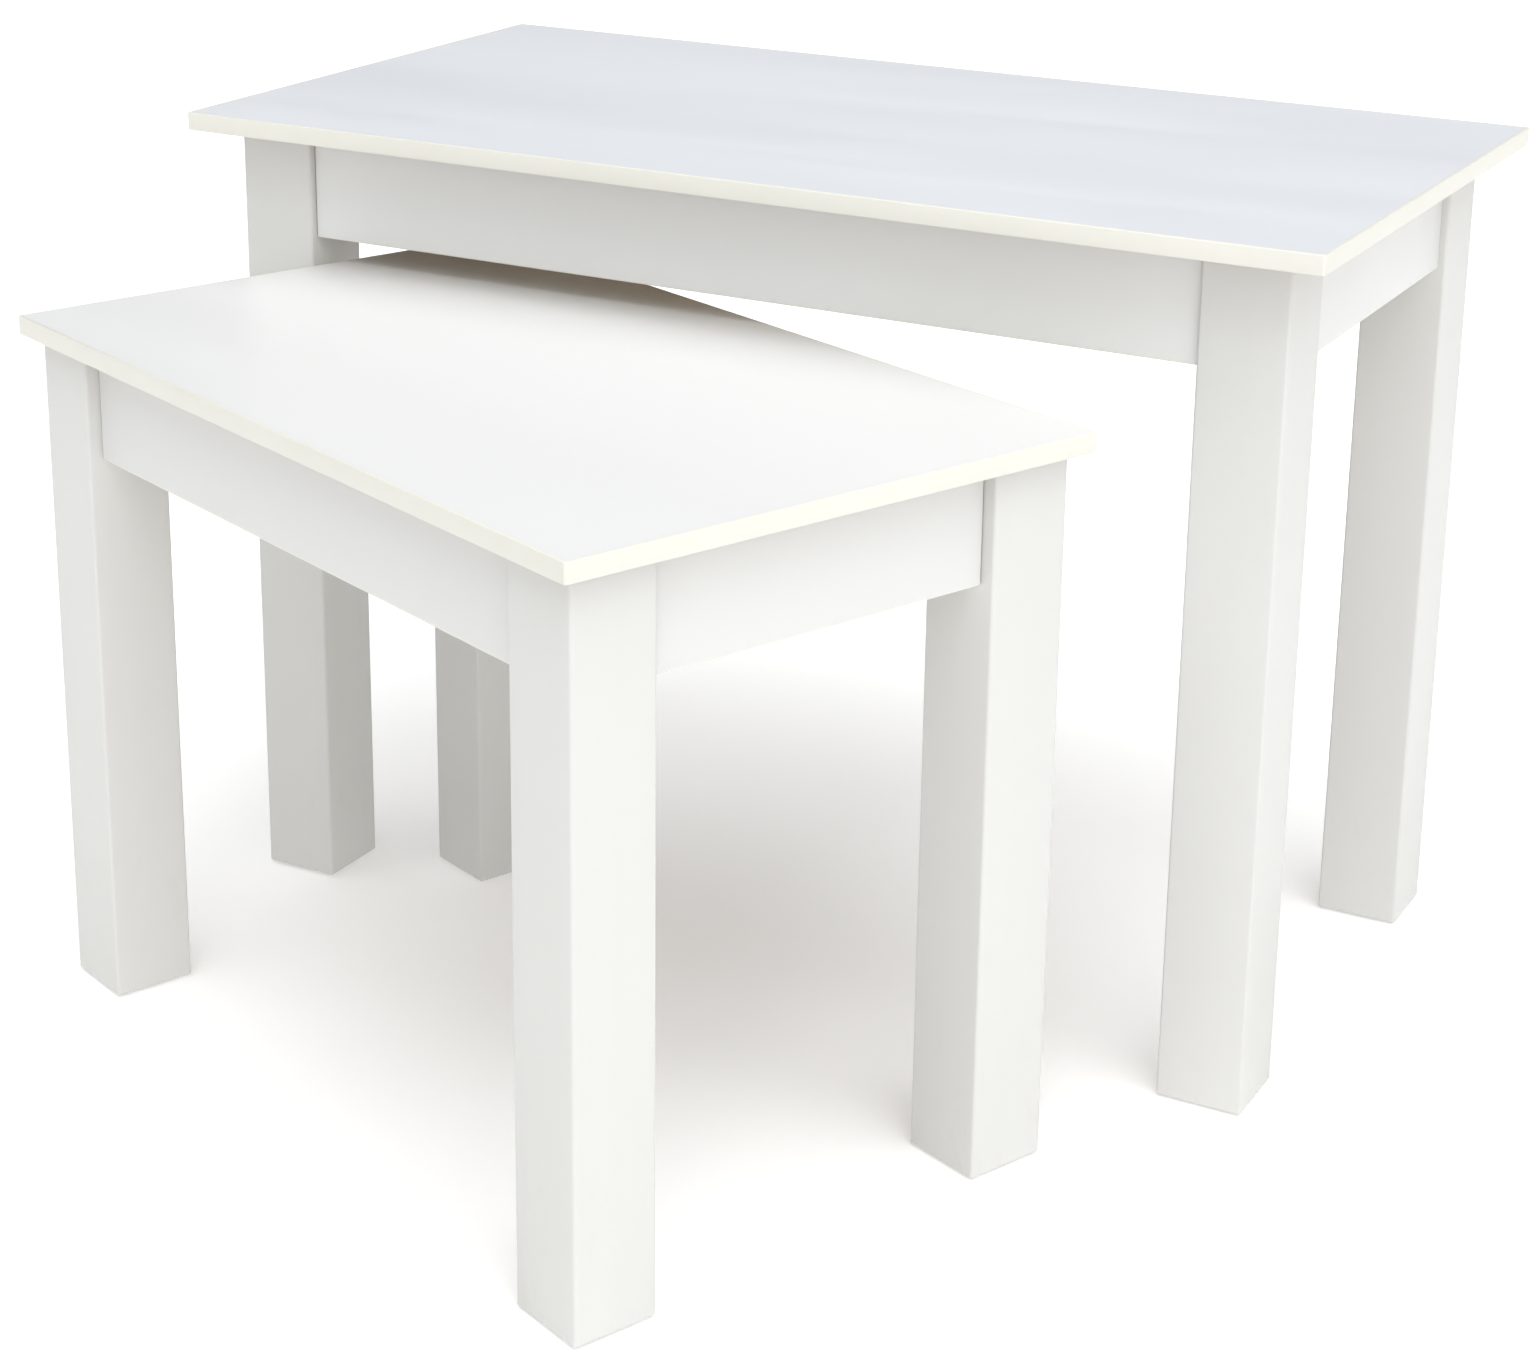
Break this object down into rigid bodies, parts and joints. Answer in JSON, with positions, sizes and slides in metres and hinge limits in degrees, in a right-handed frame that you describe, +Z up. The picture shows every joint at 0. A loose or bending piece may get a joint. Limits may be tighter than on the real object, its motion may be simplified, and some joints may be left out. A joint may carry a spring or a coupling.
{
  "type": "nesting tables",
  "caption": "Pair of plain rectangular side tables with square legs, the lower one turned and drawn partly out from under the taller one.",
  "frame": {"origin": "on the floor, below the middle of the box round the pair as it stands", "axes": "+X along the large table's length, +Y from its front to its back, +Z up"},
  "size_m": [0.79, 0.8225, 0.553],
  "materials": {
    "top_laminate": "white melamine-faced chipboard, satin",
    "apron_laminate": "white melamine-faced chipboard, satin",
    "leg_foil": "square wooden post wrapped in white foil, satin",
    "edge_band": "off-white plastic edge band, fine matt grain",
    "beech": "plain fluted beech dowel",
    "zinc_steel": "bright zinc-plated steel",
    "glide_plastic": "pale hard plastic"
  },
  "bodies": {
    "large_table": {"large_angle_bracket_screws": "zinc_steel", "large_angle_brackets": "zinc_steel", "large_apron_back": "apron_laminate", "large_apron_dowels": "beech", "large_apron_edge_strips": "edge_band", "large_apron_front": "apron_laminate", "large_apron_left": "apron_laminate", "large_apron_right": "apron_laminate", "large_corner_bracket_screws": "zinc_steel", "large_corner_brackets": "zinc_steel", "large_flange_nuts": "zinc_steel", "large_foot_glides": "glide_plastic", "large_hanger_bolts": "zinc_steel", "large_leg_back_left": "leg_foil", "large_leg_back_right": "leg_foil", "large_leg_front_left": "leg_foil", "large_leg_front_right": "leg_foil", "large_top_board": "top_laminate", "large_top_edge_back": "edge_band", "large_top_edge_front": "edge_band", "large_top_edge_left": "edge_band", "large_top_edge_right": "edge_band"},
    "small_table": {"small_angle_bracket_screws": "zinc_steel", "small_angle_brackets": "zinc_steel", "small_apron_back": "apron_laminate", "small_apron_dowels": "beech", "small_apron_edge_strips": "edge_band", "small_apron_front": "apron_laminate", "small_apron_left": "apron_laminate", "small_apron_right": "apron_laminate", "small_corner_bracket_screws": "zinc_steel", "small_corner_brackets": "zinc_steel", "small_flange_nuts": "zinc_steel", "small_foot_glides": "glide_plastic", "small_hanger_bolts": "zinc_steel", "small_leg_back_left": "leg_foil", "small_leg_back_right": "leg_foil", "small_leg_front_left": "leg_foil", "small_leg_front_right": "leg_foil", "small_top_board": "top_laminate", "small_top_edge_back": "edge_band", "small_top_edge_front": "edge_band", "small_top_edge_left": "edge_band", "small_top_edge_right": "edge_band"}
  },
  "joints": [
    {"name": "small_table_swing", "type": "hinge", "parent": "large_table", "child": "small_table", "pos_m": [-0.79971, 0.14239, 0], "axis": [0, 0, 1], "range_deg": [-30, 22.5]}
  ]
}
